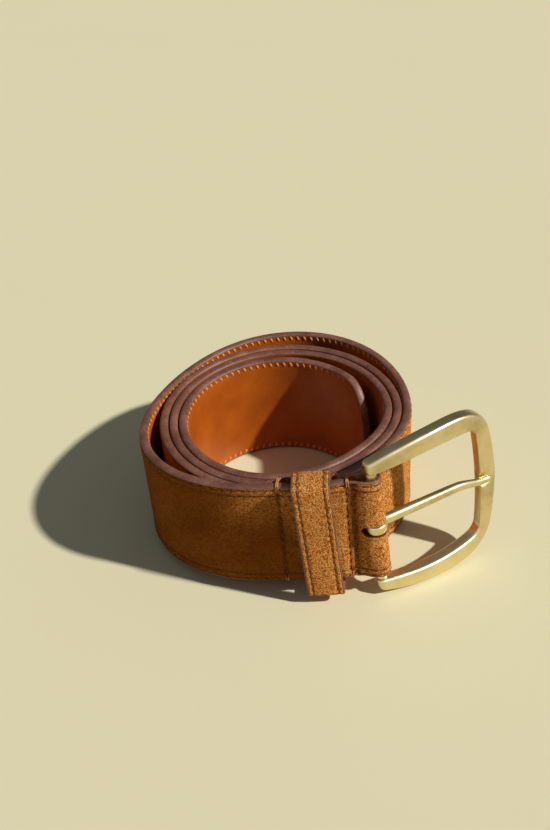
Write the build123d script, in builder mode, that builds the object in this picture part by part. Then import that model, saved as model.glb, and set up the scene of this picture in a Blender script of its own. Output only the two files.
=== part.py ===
from build123d import *
import math
import os

# Rolled 40 mm suede belt with a bowed brass buckle, prong and sliding keeper.
#
# Frame: +Z up, millimetres. The origin lies on the table, in the middle of the belt's footprint.
# The inner tip of the strap points to +X and the strap winds counter-clockwise, seen
# from above, out to the buckle at the front right.

os.makedirs("parts", exist_ok=True)

# --- driving dimensions: leather ---
strap_width = 40.0
face_thickness = 1.25          # suede on the outside of the strap
core_thickness = 0.6           # reinforcement between the two leathers
lining_thickness = 1.05        # smooth leather on the inside
core_inset = 0.4               # the core stops short of the cut edges
lining_inset = 0.15            # so does the lining, under the edge paint
tip_length = 13.0              # rounded billet tip beyond the straight edges
hole_diameter = 4.5
hole_pitch = 25.0
hole_count = 5
hole_start = 118.0             # first hole, measured from the inner end of the straight edges

# --- driving dimensions: the coil ---
coil_centre_x = -11.517        # sets the middle of the belt's footprint at the origin
coil_centre_y = 1.322
coil_radius = 30.0             # lining side of the innermost turn
turn_count = 3.72              # full turns from the start of the straight edges to the end run
gap_front = 0.08               # between turns, where the coil is tight
gap_back = 0.5                 # between turns, at the far side
step_angle = 75.0              # last part of each turn, where it climbs one layer
tip_bulge = 2.7                # how far the tip lifts the turns that lie over it
loose_bulge = 5.3              # slack of the outermost turn at the far right
side_bulge = 4.4               # slack of the outermost turn at the left
front_bulge = 2.5              # slack of the outermost turn at the front
rise_slope = 0.078             # how steeply the outermost turn climbs towards the buckle
rise_ramp = 76.0               # degrees over which the climb sets in
rise_sweep = 138.0             # degrees of the coil that climb

# --- driving dimensions: buckle end of the strap ---
end_run = 32.4                 # straight run from the coil to the buckle bar
flap_end = 0.6                 # where the folded-back flap is cut, along the run
left_seam_at = 2.9
right_seam_at = 24.3
slot_height = 4.6              # opening in the fold that lets the prong through
slot_length = 5.6              # from the bar back along the strap
stitch_pitch = 3.2
stitch_length = 2.2
stitch_width = 0.7
stitch_proud = 0.3

# --- driving dimensions: keeper ---
keeper_width = 11.8
keeper_thickness = 1.4
keeper_back_thickness = 1.1    # skived where it runs under the flap
keeper_slack = 3.6             # room in front of the strap for the billet
keeper_side_gap = 1.2          # above and below the strap
keeper_clearance = 0.2         # each side of its back run
keeper_at = 14.7               # middle of the keeper, along the run
keeper_corner = 1.6
joint_gap = 0.2                # between the two ends of the keeper, at the back
joint_stitch_count = 3
joint_stitch_pitch = 3.4

# --- driving dimensions: buckle ---
buckle_length = 44.6           # bar centre to the outer edge
window_height = 44.0           # at the bar
window_flare = 4.4             # extra window height at the outer bar
arm_width = 4.4                # at the bar
shoulder_height = 58.6         # overall height across the widest part of the arms
outer_bar_width = 7.0          # at mid height
outer_bar_bulge = 2.2
frame_thickness = 4.4
bow_radius = 100.0             # the frame is bowed outwards along its length
bow_centre = 18.0              # crown of the bow, from the bar
bar_set_back = 0.8             # bar axis behind the middle of the frame at the arm ends
arm_overhang = 2.1             # arm ends beyond the bar axis
outer_corner = 7.5
window_corner = 2.6
face_bevel = 0.7
swing_angle = 31.5             # buckle turned back from the line of the strap
bar_diameter = 3.8
spigot_diameter = 2.0
spigot_length = 3.0
bar_clearance = 0.1            # leather fold round the bar
notch_width = 7.0
notch_length = 4.6             # from the inner edge of the outer bar
notch_depth = 0.9

# --- driving dimensions: prong ---
prong_width = 3.0              # along the bar
prong_thickness = 2.2
loop_wall = 1.5
loop_clearance = 0.08
prong_start_depth = 0.9        # shank behind the bar axis, where it leaves its loop
prong_bend_at = 31.5           # the straight shank ends here
prong_bend_rise = 1.4          # and stands this far in front of the bar axis
prong_crest_at = 37.2          # the prong has risen over the edge of the outer bar
prong_crest_rise = 3.6
prong_tip_rise = 2.6
prong_tip_thickness = 1.6
prong_edge = 0.25
tip_overhang = 1.2             # prong tip short of the outer edge

strap_thickness = face_thickness + core_thickness + lining_thickness
fold_inner_radius = bar_diameter / 2 + bar_clearance
stack_thickness = strap_thickness + face_thickness
pocket_depth = keeper_back_thickness + 2 * keeper_clearance

strap_start = 4.0                                    # degrees from +X
coil_end = strap_start + 360 * turn_count + 0.8      # the coil becomes the straight run
rise_start = coil_end - rise_sweep


def smooth(value):
    """A soft step from 0 to 1."""
    value = min(max(value, 0.0), 1.0)
    return value * value * (3 - 2 * value)


def bulge(angle, height, centre, before, after):
    """A soft bump of the given height, which reaches before and after its centre."""
    offset_angle = angle - centre
    share = offset_angle / (before if offset_angle < 0 else after)
    if abs(share) >= 1:
        return 0.0
    return height * math.cos(share * math.pi / 2) ** 2


def turn_radius(angle):
    """Radius of the lining side of the strap at an angle that runs on over all turns."""
    turn = math.floor(angle / 360)
    climb = turn + smooth((angle - 360 * turn - (360 - step_angle)) / step_angle)
    gap = gap_front + (gap_back - gap_front) * (1 + math.sin(math.radians(angle))) / 2
    radius = coil_radius + climb * (strap_thickness + gap)
    for centre in (370, 730, 1090):
        radius += bulge(angle, tip_bulge, centre, 60, 130)
    radius += bulge(angle, loose_bulge, 1150, 75, 75)
    radius += bulge(angle, side_bulge, 1284, 56, 56)
    return radius + front_bulge * smooth((angle - 1280) / (coil_end - 2 - 1280))


def mean_arc(degrees):
    """Length along the outermost turn."""
    return math.radians(degrees) * (coil_radius + 5 * strap_thickness)


def rise(angle):
    """Height of the lower edge of the strap above the table."""
    run = mean_arc(max(angle - rise_start, 0.0))
    ramp = mean_arc(rise_ramp)
    return rise_slope * (run * run / (2 * ramp) if run < ramp else run - ramp / 2)


def slope_at(angle):
    """Angle of the climb, in degrees."""
    share = min(max((angle - rise_start) / rise_ramp, 0.0), 1.0)
    return math.degrees(math.atan(rise_slope * share))


def plan_point(angle, depth):
    """Point of the coil in plan, depth mm in from the suede side."""
    radius = turn_radius(angle) + strap_thickness - depth
    return Vector(coil_centre_x, coil_centre_y) + Vector(radius, 0).rotate(Axis.Z, angle)


def station(angle, depth):
    """Plane across the strap: x points inwards, y up its leaning width, z along it."""
    inwards = Vector(-1, 0, 0).rotate(Axis.Z, angle)
    forwards = Vector(0, 1, 0).rotate(Axis.Z, angle)
    lean = math.radians(slope_at(angle))
    along = forwards * math.cos(lean) + Vector(0, 0, math.sin(lean))
    place = plan_point(angle, depth) + Vector(0, 0, strap_width / 2 + rise(angle))
    return Plane(origin=place, x_dir=inwards, z_dir=along)


def flat_ribbon(start, end, near, far):
    """Closed plan outline of one leather layer between two depths, as a chain of arcs."""
    arcs = math.ceil((end - start) / 20)
    sweep = (end - start) / arcs
    for depth in (near, far):
        for index in range(arcs):
            angle = start + index * sweep
            ThreePointArc(
                plan_point(angle, depth),
                plan_point(angle + sweep / 2, depth),
                plan_point(angle + sweep, depth),
            )
    Line(plan_point(start, near), plan_point(start, far))
    Line(plan_point(end, near), plan_point(end, far))


def coil_layer(near, far, inset=0.0):
    """One leather layer of the whole coil: flat turns, then the climbing outer turn."""
    width = strap_width - 2 * inset
    tip = billet_tip(near, far, inset)
    with BuildPart() as layer:
        with BuildSketch(Plane.XY.offset(inset)):
            with BuildLine():
                flat_ribbon(strap_start, rise_start, near, far)
            make_face()
        extrude(amount=width)
        steps = math.ceil((coil_end - rise_start) / 14)
        for step in range(steps + 1):
            angle = rise_start + (coil_end - rise_start) * step / steps
            with BuildSketch(station(angle, (near + far) / 2)):
                Rectangle(far - near, width)
        loft()
        add(tip)
        for index in range(hole_count):
            travel = hole_start + index * hole_pitch
            angle = angle_at(travel)
            middle = station(angle, (near + far) / 2)
            across = Plane(origin=middle.origin, z_dir=middle.x_dir)
            with BuildSketch(across.offset(-(far - near) / 2 - 0.4)):
                Circle(hole_diameter / 2)
            extrude(amount=far - near + 0.8, mode=Mode.SUBTRACT)
    return layer.part


def angle_at(travel):
    """Angle at which a length of strap, measured from its straight edges, ends."""
    angle = strap_start
    while travel > 0:
        travel -= math.radians(1) * (turn_radius(angle) + strap_thickness / 2)
        angle += 1
    return angle + travel / (math.radians(1) * turn_radius(angle))


def billet_tip(near, far, inset):
    """The rounded end of the billet, bent to the innermost turn."""
    reach = math.degrees((tip_length - inset) / coil_radius)
    half = strap_width / 2 - inset
    with BuildPart() as tip:
        with BuildSketch(Plane.XY.offset(inset)):
            with BuildLine():
                flat_ribbon(strap_start - reach - 2, strap_start, near, far)
            make_face()
        extrude(amount=2 * half)
        root = station(strap_start, (near + far) / 2)
        face_on = Plane(origin=root.origin, x_dir=-root.z_dir, z_dir=root.x_dir)
        with BuildSketch(face_on.offset(-10)):
            with BuildLine():
                EllipticalCenterArc((0, 0), tip_length - inset, half, start_angle=-90, arc_size=180)
                Line((0, half), (-1, half))
                Line((-1, half), (-1, -half))
                Line((-1, -half), (0, -half))
            make_face()
        extrude(amount=20, mode=Mode.INTERSECT)
    return tip.part


# The straight run at the buckle end: x along the strap, y inwards, z up its width.
end_station = station(coil_end, 0)
run_plane = Plane(origin=end_station.origin, x_dir=end_station.z_dir, z_dir=end_station.y_dir)
bar_depth = stack_thickness / 2


def run_point(along, depth, height=0.0):
    """A point of the straight run in the frame of the part."""
    return run_plane.from_local_coords(Vector(along, depth, height))


def tangent_point(start, centre, radius, side):
    """Where a line from start touches a circle, on its left (+1) or right (-1)."""
    reach = start - centre
    spread = math.degrees(math.acos(radius / reach.length)) * side
    return centre + reach.normalized().rotate(Axis.Z, spread) * radius


def fold_side(grow):
    """One side of the suede round the bar, moved out by grow from its inner side."""
    centre = Vector(end_run, bar_depth)
    radius = fold_inner_radius + grow
    front = Vector(right_seam_at + 1.0, face_thickness - grow)
    pinch = Vector(right_seam_at + 1.0, strap_thickness + grow)
    front_touch = tangent_point(front, centre, radius, 1)
    back_touch = tangent_point(pinch, centre, radius, -1)
    step_run = 1.0
    return [
        Line((0, face_thickness - grow), front),
        Line(front, front_touch),
        ThreePointArc(front_touch, centre + Vector(radius, 0), back_touch),
        Polyline(
            back_touch,
            pinch,
            (right_seam_at - 1.0, strap_thickness + grow),
            (right_seam_at - 1.0 - step_run, strap_thickness + pocket_depth + grow),
            (left_seam_at + 1.0 + step_run, strap_thickness + pocket_depth + grow),
            (left_seam_at + 1.0, strap_thickness + grow),
            (flap_end, strap_thickness + grow),
        ),
    ]


# --- strap: suede face, with the fold round the bar and the flap behind ---
face_coil = coil_layer(0, face_thickness)
with BuildPart() as strap_face:
    add(face_coil)
    with BuildSketch(run_plane.offset(-strap_width / 2)):
        with BuildLine():
            fold_side(0)
            fold_side(face_thickness)
            Line((0, 0), (0, face_thickness))
            Line((flap_end, strap_thickness), (flap_end, stack_thickness))
        make_face()
    extrude(amount=strap_width)
    slot_plane = Plane(origin=run_point(end_run, -12), x_dir=run_plane.x_dir, z_dir=run_plane.y_dir)
    with BuildSketch(slot_plane):
        with Locations((-slot_length + slot_height / 2, 0)):
            Circle(slot_height / 2)
        with Locations((slot_height / 2 - slot_length / 2 + 5, 0)):
            Rectangle(slot_length + 10, slot_height)
    extrude(amount=24, mode=Mode.SUBTRACT)
strap_face.part.label = "strap_face"
export_step(strap_face.part, "parts/strap_face.step")

# --- strap: reinforcing core, which ends before the fold ---
core_coil = coil_layer(face_thickness, face_thickness + core_thickness, core_inset)
with BuildPart() as strap_core:
    add(core_coil)
    with BuildSketch(run_plane.offset(core_inset - strap_width / 2)):
        with BuildLine():
            Polyline(
                (0, face_thickness),
                (right_seam_at - 1.5, face_thickness),
                (right_seam_at - 1.5, face_thickness + core_thickness),
                (0, face_thickness + core_thickness),
                close=True,
            )
        make_face()
    extrude(amount=strap_width - 2 * core_inset)
strap_core.part.label = "strap_core"
export_step(strap_core.part, "parts/strap_core.step")

# --- strap: smooth lining, which ends just beyond the seam beside the bar ---
lining_coil = coil_layer(strap_thickness - lining_thickness, strap_thickness, lining_inset)
with BuildPart() as strap_lining:
    add(lining_coil)
    with BuildSketch(run_plane.offset(lining_inset - strap_width / 2)):
        with BuildLine():
            Polyline(
                (0, strap_thickness - lining_thickness),
                (right_seam_at + 1.0, strap_thickness - lining_thickness),
                (right_seam_at + 1.0, strap_thickness),
                (0, strap_thickness),
                close=True,
            )
        make_face()
    extrude(amount=strap_width - 2 * lining_inset)
strap_lining.part.label = "strap_lining"
export_step(strap_lining.part, "parts/strap_lining.step")


# --- the two rows of stitches that close the keeper's pocket ---
def cross_seam(along):
    """Stitches across the strap, on its suede face and on the flap behind."""
    count = math.floor((strap_width - stitch_pitch) / stitch_pitch)
    with BuildPart() as seam:
        for depth in (-stitch_proud, stack_thickness):
            place = Plane(
                origin=run_point(along, depth),
                x_dir=run_plane.x_dir,
                z_dir=run_plane.y_dir,
            )
            with BuildSketch(place):
                with GridLocations(0, stitch_pitch, 1, count):
                    Rectangle(stitch_width, stitch_length)
            extrude(amount=stitch_proud)
    return seam.part


for name, along in (("left_seam_stitches", left_seam_at), ("right_seam_stitches", right_seam_at)):
    stitches = cross_seam(along)
    stitches.label = name
    export_step(stitches, f"parts/{name}.step")

# --- keeper: a loop round the strap, free to slide between the seams ---
keeper_plane = Plane(
    origin=run_point(keeper_at - keeper_width / 2, 0),
    x_dir=run_plane.y_dir,
    z_dir=run_plane.x_dir,
)
keeper_back = strap_thickness + keeper_clearance
loop_inner_height = strap_width + 2 * keeper_side_gap
with BuildPart() as keeper_loop:
    with BuildSketch(keeper_plane):
        with BuildLine():
            front = -keeper_slack - keeper_thickness
            back = keeper_back + keeper_back_thickness
            half = loop_inner_height / 2 + keeper_thickness
            FilletPolyline(
                (front, -half),
                (back, -half),
                (back, half),
                (front, half),
                radius=keeper_corner,
                close=True,
            )
        make_face()
        with BuildLine(mode=Mode.PRIVATE) as hollow_line:
            half = loop_inner_height / 2
            FilletPolyline(
                (-keeper_slack, -half),
                (keeper_back, -half),
                (keeper_back, half),
                (-keeper_slack, half),
                radius=keeper_corner - 1,
                close=True,
            )
        make_face(hollow_line.edges(), mode=Mode.SUBTRACT)
        with Locations(((keeper_back + back) / 2, 0)):
            Rectangle(2 * keeper_back_thickness, joint_gap, mode=Mode.SUBTRACT)
    extrude(amount=keeper_width)
    joint_plane = Plane(
        origin=run_point(keeper_at, keeper_back + keeper_back_thickness),
        x_dir=run_plane.x_dir,
        z_dir=-run_plane.y_dir,
    )
    with BuildSketch(joint_plane):
        with GridLocations(joint_stitch_pitch, 0, joint_stitch_count, 1):
            Rectangle(stitch_width, stitch_length * 2)
    extrude(amount=stitch_proud, mode=Mode.SUBTRACT)
keeper_loop.part.label = "keeper_loop"
export_step(keeper_loop.part, "parts/keeper_loop.step")

with BuildPart() as keeper_joint_stitches:
    with BuildSketch(joint_plane):
        with GridLocations(joint_stitch_pitch, 0, joint_stitch_count, 1):
            Rectangle(stitch_width, stitch_length * 2)
    extrude(amount=stitch_proud)
keeper_joint_stitches.part.label = "keeper_joint_stitches"
export_step(keeper_joint_stitches.part, "parts/keeper_joint_stitches.step")

# --- buckle frame: a bowed slab, cut to the outline of the frame ---
bar_centre = run_point(end_run, bar_depth)
outwards = run_plane.x_dir.rotate(Axis((0, 0, 0), run_plane.z_dir), swing_angle)
face_plane = Plane(origin=bar_centre, x_dir=outwards, z_dir=outwards.cross(run_plane.z_dir))
bow_plane = Plane(origin=bar_centre, x_dir=outwards, z_dir=-run_plane.z_dir)
arm_end = window_height / 2 + arm_width
widest = shoulder_height / 2
outer_corner_at = buckle_length - outer_bar_bulge
window_end = buckle_length - outer_bar_width
window_far = (window_height + window_flare) / 2
window_corner_at = window_end - outer_bar_bulge * 0.6


def bow_height(along):
    """How far the middle of the frame stands in front of the bar axis."""
    drop = bow_radius - math.sqrt(bow_radius**2 - (along - bow_centre) ** 2)
    base = bow_radius - math.sqrt(bow_radius**2 - bow_centre**2)
    return bar_set_back + base - drop


with BuildSketch() as frame_outline:
    with BuildLine():
        for side in (1, -1):
            ThreePointArc(
                (-arm_overhang, side * arm_end),
                (buckle_length * 0.42, side * widest),
                (outer_corner_at, side * (widest - 0.9)),
            )
        ThreePointArc(
            (outer_corner_at, widest - 0.9),
            (buckle_length, 0),
            (outer_corner_at, 0.9 - widest),
        )
        Line((-arm_overhang, arm_end), (-arm_overhang, -arm_end))
    make_face()
    fillet(frame_outline.vertices().group_by(Axis.X)[-1], radius=outer_corner)

with BuildSketch() as window_outline:
    with BuildLine():
        ThreePointArc(
            (window_corner_at, window_far),
            (window_end, 0),
            (window_corner_at, -window_far),
        )
        Polyline(
            (window_corner_at, -window_far),
            (0, -window_height / 2),
            (-arm_overhang - 1, -window_height / 2),
            (-arm_overhang - 1, window_height / 2),
            (0, window_height / 2),
            (window_corner_at, window_far),
        )
    make_face()
    fillet(window_outline.vertices().group_by(Axis.X)[-1], radius=window_corner)

with BuildPart() as buckle_frame:
    with BuildSketch(bow_plane.offset(-shoulder_height)):
        with Locations((bow_centre, bow_height(bow_centre) - bow_radius)):
            Circle(bow_radius + frame_thickness / 2)
            Circle(bow_radius - frame_thickness / 2, mode=Mode.SUBTRACT)
    extrude(amount=2 * shoulder_height)
    with BuildSketch(face_plane.offset(-10)):
        add(frame_outline.sketch)
        add(window_outline.sketch, mode=Mode.SUBTRACT)
    extrude(amount=20, mode=Mode.INTERSECT)
    across_frame = Axis(bar_centre, face_plane.z_dir)
    bowed_faces = buckle_frame.faces().filter_by(GeomType.CYLINDER)
    bowed_faces = bowed_faces.filter_by(lambda face: face.area > 400).sort_by(across_frame)
    chamfer(bowed_faces[-1].edges(), length=face_bevel)
    notch_floor = bow_height(window_end + notch_length / 2) + frame_thickness / 2 - notch_depth
    with BuildSketch(face_plane.offset(notch_floor)):
        with Locations((window_end, 0)):
            RectangleRounded(2 * notch_length, notch_width, radius=1.2)
    extrude(amount=6, mode=Mode.SUBTRACT)
    for side in (1, -1):
        bore_plane = Plane(
            origin=bar_centre + run_plane.z_dir * (side * window_height / 2),
            x_dir=outwards,
            z_dir=run_plane.z_dir * side,
        )
        with BuildSketch(bore_plane):
            Circle(spigot_diameter / 2)
        extrude(amount=spigot_length, mode=Mode.SUBTRACT)
buckle_frame.part.label = "buckle_frame"
export_step(buckle_frame.part, "parts/buckle_frame.step")

# --- buckle bar: a pin between the arms, with a spigot pressed into each ---
with BuildPart() as buckle_bar:
    with BuildSketch(Plane(origin=bar_centre, x_dir=outwards, z_dir=run_plane.z_dir)):
        Circle(bar_diameter / 2)
    extrude(amount=window_height / 2, both=True)
    with BuildSketch(Plane(origin=bar_centre, x_dir=outwards, z_dir=run_plane.z_dir)):
        Circle(spigot_diameter / 2)
    extrude(amount=window_height / 2 + spigot_length, both=True)
buckle_bar.part.label = "buckle_bar"
export_step(buckle_bar.part, "parts/buckle_bar.step")

# --- prong: a loop round the bar and a shank that rises over the outer bar ---
prong_half = prong_thickness / 2
tip_half = prong_tip_thickness / 2
prong_tip_at = buckle_length - tip_overhang
loop_hole = bar_diameter / 2 + loop_clearance
loop_outer = loop_hole + loop_wall
with BuildPart() as prong:
    with BuildSketch(bow_plane.offset(-prong_width / 2)):
        with BuildLine():
            FilletPolyline(
                (loop_hole + 0.4, prong_half - prong_start_depth),
                (prong_bend_at, prong_bend_rise + prong_half),
                (prong_crest_at, prong_crest_rise + prong_half),
                (prong_tip_at, prong_tip_rise + tip_half),
                (prong_tip_at, prong_tip_rise - tip_half),
                (prong_crest_at, prong_crest_rise - prong_half),
                (prong_bend_at, prong_bend_rise - prong_half),
                (loop_hole + 0.4, -prong_half - prong_start_depth),
                radius=0.7,
                close=True,
            )
        make_face()
        Circle(loop_outer)
        Circle(loop_hole, mode=Mode.SUBTRACT)
    extrude(amount=prong_width)
    prong_sides = prong.faces().filter_by(Axis(bar_centre, run_plane.z_dir)).sort_by(SortBy.AREA)
    long_edges = [face.outer_wire().edges().filter_by(lambda edge: edge.length > 3) for face in prong_sides[-2:]]
    chamfer(long_edges, length=prong_edge)
prong.part.label = "prong"
export_step(prong.part, "parts/prong.step")
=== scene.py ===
import math
import bpy
import bmesh
import numpy as np
from mathutils import Matrix, Vector


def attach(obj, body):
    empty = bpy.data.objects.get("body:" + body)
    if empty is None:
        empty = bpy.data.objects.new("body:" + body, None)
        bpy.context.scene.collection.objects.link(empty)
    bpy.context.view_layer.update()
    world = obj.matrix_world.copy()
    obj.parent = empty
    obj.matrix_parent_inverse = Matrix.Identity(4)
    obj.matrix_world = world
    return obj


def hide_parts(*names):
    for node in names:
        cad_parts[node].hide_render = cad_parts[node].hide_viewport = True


# Suede belt rolled on a table. Leather, painted edges, thread, frame and prong are made here,
# and the bar in the fold is the part's own. Lengths are millimetres, and meshes are written in metres.

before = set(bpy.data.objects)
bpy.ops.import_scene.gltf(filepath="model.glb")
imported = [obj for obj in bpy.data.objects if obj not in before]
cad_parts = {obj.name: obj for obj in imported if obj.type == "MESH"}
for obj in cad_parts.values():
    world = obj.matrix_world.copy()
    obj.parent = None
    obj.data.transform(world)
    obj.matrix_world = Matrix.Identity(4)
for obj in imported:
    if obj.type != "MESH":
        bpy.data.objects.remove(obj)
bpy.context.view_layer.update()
mm = 0.001
print("frame loaded")

# The route of the strap. It starts at the billet's end and winds outwards, angles are degrees.
coil = {
    "centre": (-11.517, 1.322),  # middle of the coil on the table
    "width": 40.0,  # strap, edge to edge
    "leather": 2.9,  # suede, core and lining together
    "suede": 1.25,  # suede alone
    "innerRadius": 30.0,  # to the lining of the innermost turn
    "tipLength": 13.0,  # rounded end of the billet
    "startAngle": 4.0,  # where lengths are counted from
    "tipAngle": 35.0,  # where the rounded end begins
    "tipLean": (0.2, 75, 42),  # how far the end leans in, before which angle, over how many degrees
    "endAngle": 1344.0,  # where the coil runs out straight
    "gapFront": 0.08,  # air between the turns
    "gapBack": 0.5,
    "stepAngle": 75.0,  # a turn climbs over the one below in this angle
    "bulges": [(2.7, 370, 60, 130), (2.7, 730, 60, 130), (2.7, 1090, 60, 130),
               (5.3, 1150, 75, 75), (4.4, 1284, 56, 56)],  # height, middle, reach before and after
    "frontBulge": (2.5, 1280),  # the last turn swings out to the straight run, from this angle
    "riseSlope": 0.078,  # the last turn climbs off the table
    "riseRamp": 76.0,
    "riseSweep": 138.0,
    "fineTurns": 400.0,  # the outer turn, which is seen from outside
}
# The straight run with the keeper's pocket and the fold
run = {
    "barAt": 32.4,  # bar centre, along the straight run
    "foldRadius": 2.0,  # inside of the fold round the bar
    "leftSeam": 2.9,  # seams across the strap, both sides of the keeper
    "rightSeam": 24.3,
    "flapEnd": 0.6,  # where the suede that comes back behind ends
    "pocket": 1.5,  # room behind the strap for the keeper
    "pocketAt": 14.0,  # the pocket pushes the strap outwards a little
    "pocketReach": 10.2,
    "pocketFade": 4.6,
    "pocketSwell": 0.75,
    "leavesCore": 2.4,  # past the right seam the suede goes on alone
    "shoulder": [(27.3, -0.1), (28.6, -0.62), (29.7, -1.0), (30.8, -1.12)],  # and swells out
    "foldFrom": -98,  # degrees round the bar
}
barDepth = (coil["leather"] + coil["suede"]) / 2
riseStart = coil["endAngle"] - coil["riseSweep"]
halfWidth = coil["width"] / 2
riseRadius = coil["innerRadius"] + 5 * coil["leather"]  # middle of the outer turns


def smoothStep(value):
    value = np.clip(value, 0.0, 1.0)
    return value * value * (3 - 2 * value)


def bell(offset, width):
    return np.exp(-(offset / width) ** 2)


def ripple(along, pitch, share):
    return 1 - share + share * np.cos(along / pitch * 2 * math.pi)


def unit(vectors):
    return vectors / np.linalg.norm(vectors, axis=-1, keepdims=True)


def lengthsAlong(points):
    return np.concatenate([[0], np.cumsum(np.linalg.norm(np.diff(points, axis=0), axis=1))])


def softBump(angle, height, centre, before, after):
    offset = angle - centre
    share = np.clip(np.abs(offset / np.where(offset < 0, before, after)), 0, 1)
    return height * np.cos(share * math.pi / 2) ** 2


def turnRadius(angle):
    turn = np.floor(angle / 360)
    climb = turn + smoothStep((angle - 360 * turn - (360 - coil["stepAngle"])) / coil["stepAngle"])
    spread = coil["gapBack"] - coil["gapFront"]
    gap = coil["gapFront"] + spread * (1 + np.sin(np.radians(angle))) / 2
    radius = coil["innerRadius"] + climb * (coil["leather"] + gap)
    for bulge in coil["bulges"]:
        radius = radius + softBump(angle, *bulge)
    lean, leanFrom, leanOver = coil["tipLean"]
    radius = radius - lean * smoothStep((leanFrom - angle) / leanOver)
    swing, swingFrom = coil["frontBulge"]
    return radius + swing * smoothStep((angle - swingFrom) / (coil["endAngle"] - 2 - swingFrom))


def climbOf(angle):
    reach = np.radians(np.maximum(angle - riseStart, 0)) * riseRadius
    ramp = math.radians(coil["riseRamp"]) * riseRadius
    height = coil["riseSlope"] * np.where(reach < ramp, reach * reach / (2 * ramp), reach - ramp / 2)
    lean = np.arctan(coil["riseSlope"] * np.clip((angle - riseStart) / coil["riseRamp"], 0, 1))
    return height, lean


# Frames on the suede side, at the middle of the width: place, inwards, up the width, along
def coilFrames(angle):
    a = np.radians(angle)
    zero = np.zeros_like(a)
    inwards = np.stack([-np.cos(a), -np.sin(a), zero], 1)
    forwards = np.stack([-np.sin(a), np.cos(a), zero], 1)
    height, lean = climbOf(angle)
    along = forwards * np.cos(lean)[:, None] + np.outer(np.sin(lean), (0, 0, 1))
    radius = turnRadius(angle) + coil["leather"]
    place = np.stack([radius * np.cos(a) + coil["centre"][0],
                      radius * np.sin(a) + coil["centre"][1], halfWidth + height], 1)
    return place, inwards, np.cross(along, inwards), along


# Points of the leather: travel along it, height up its width, depth in from its outer side
def put(path, travel, height, depth):
    travel, height, depth = np.broadcast_arrays(travel, height, depth)
    place, up, inwards = (
        np.stack([np.interp(travel, path["travel"], path[key][:, k]) for k in range(3)], -1)
        for key in ("place", "up", "in"))
    return place + unit(up) * height[..., None] + unit(inwards) * depth[..., None]


tipTravel = coil["tipLength"] * (coil["innerRadius"] + coil["leather"] / 2) / coil["innerRadius"]
tipReach = math.degrees(coil["tipLength"] / coil["innerRadius"]) + 3
coilAngles = np.arange(coil["startAngle"] - tipReach, coil["endAngle"] + 0.01, 0.75)
coilAngles[-1] = coil["endAngle"]
coilPlaces, coilInwards, coilUps, coilAlong = coilFrames(coilAngles)
runStart, runInwards, runUp, runAlong = coilPlaces[-1], coilInwards[-1], coilUps[-1], coilAlong[-1]


def runPoint(along, depth):
    along, depth = np.broadcast_arrays(np.asarray(along, float), np.asarray(depth, float))
    return runStart + along[..., None] * runAlong + depth[..., None] * runInwards


def densify(corners, step):
    points = [corners[0]]
    for a, b in zip(corners[:-1], corners[1:]):
        count = max(1, math.ceil(np.linalg.norm(np.subtract(b, a)) / step))
        points += [np.add(a, np.subtract(b, a) * k / count) for k in range(1, count + 1)]
    return np.array(points)


# Rounds off the corners of a line of close points
def soften(points, rounds):
    for _ in range(rounds):
        points[1:-1] = points[1:-1] * 0.5 + (points[:-2] + points[2:]) * 0.25
    return points


def pocketSwell(along):
    away = np.abs(along - run["pocketAt"])
    return run["pocketSwell"] * smoothStep((run["pocketReach"] - away) / run["pocketFade"])


# The suede runs on round the bar and comes back as a flap: points are along the run and in depth
foldCentre = (run["barAt"], barDepth)
foldOuter = run["foldRadius"] + coil["suede"]
flapOut = coil["leather"] + coil["suede"]
frontLeave = (run["rightSeam"] + run["leavesCore"], 0.0)
pinch = (run["rightSeam"] + 1.0, flapOut)
toPinch = np.subtract(pinch, foldCentre)
backAngle = math.atan2(toPinch[1], toPinch[0]) - math.acos(foldOuter / np.linalg.norm(toPinch))
foldArc = [(foldCentre[0] + foldOuter * math.cos(a), foldCentre[1] + foldOuter * math.sin(a))
           for a in np.linspace(math.radians(run["foldFrom"]), backAngle, 30)]
sideCorners = [(0.0, 0.0), frontLeave] + run["shoulder"] + foldArc + [
    pinch, (run["rightSeam"] - 1, flapOut), (run["rightSeam"] - 2, flapOut + run["pocket"]),
    (run["leftSeam"] + 2, flapOut + run["pocket"]), (run["leftSeam"] + 1, flapOut),
    (run["flapEnd"], flapOut)]
sidePoints = soften(densify(sideCorners, 0.3), 4)
frontHalf = np.arange(len(sidePoints)) < int(np.argmax(sidePoints[:, 0]))
sidePoints[:, 1] -= np.where(frontHalf, pocketSwell(sidePoints[:, 0]), 0)
sideAlong = unit(np.gradient(sidePoints, axis=0))
sideIn = np.stack([-sideAlong[:, 1], sideAlong[:, 0]], 1)
sidePlaces = runPoint(sidePoints[:, 0], sidePoints[:, 1])
sideInwards = sideIn[:, :1] * runAlong + sideIn[:, 1:] * runInwards
foldStarts = int(np.argmin(np.linalg.norm(sidePoints - np.array(frontLeave), axis=1)))


# The coil's frames, with those of a straight run behind them
def joinPath(last, places, inwards):
    return {"place": np.concatenate([coilPlaces[:last], places]),
            "in": np.concatenate([coilInwards[:last], inwards]),
            "up": np.concatenate([coilUps[:last], np.tile(runUp, (len(places), 1))])}


alongs = np.arange(0.5, 28, 0.5)
strap = joinPath(None, runPoint(alongs, -pocketSwell(alongs)), np.tile(runInwards, (len(alongs), 1)))
strap["travel"] = lengthsAlong(strap["place"] + strap["in"] * coil["leather"] / 2)
startTravel = np.interp(coil["startAngle"], coilAngles, strap["travel"][:len(coilAngles)])
strap["travel"] = strap["travel"] - startTravel
coilTravel = strap["travel"][:len(coilAngles)]
runTravel = float(coilTravel[-1])

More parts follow.
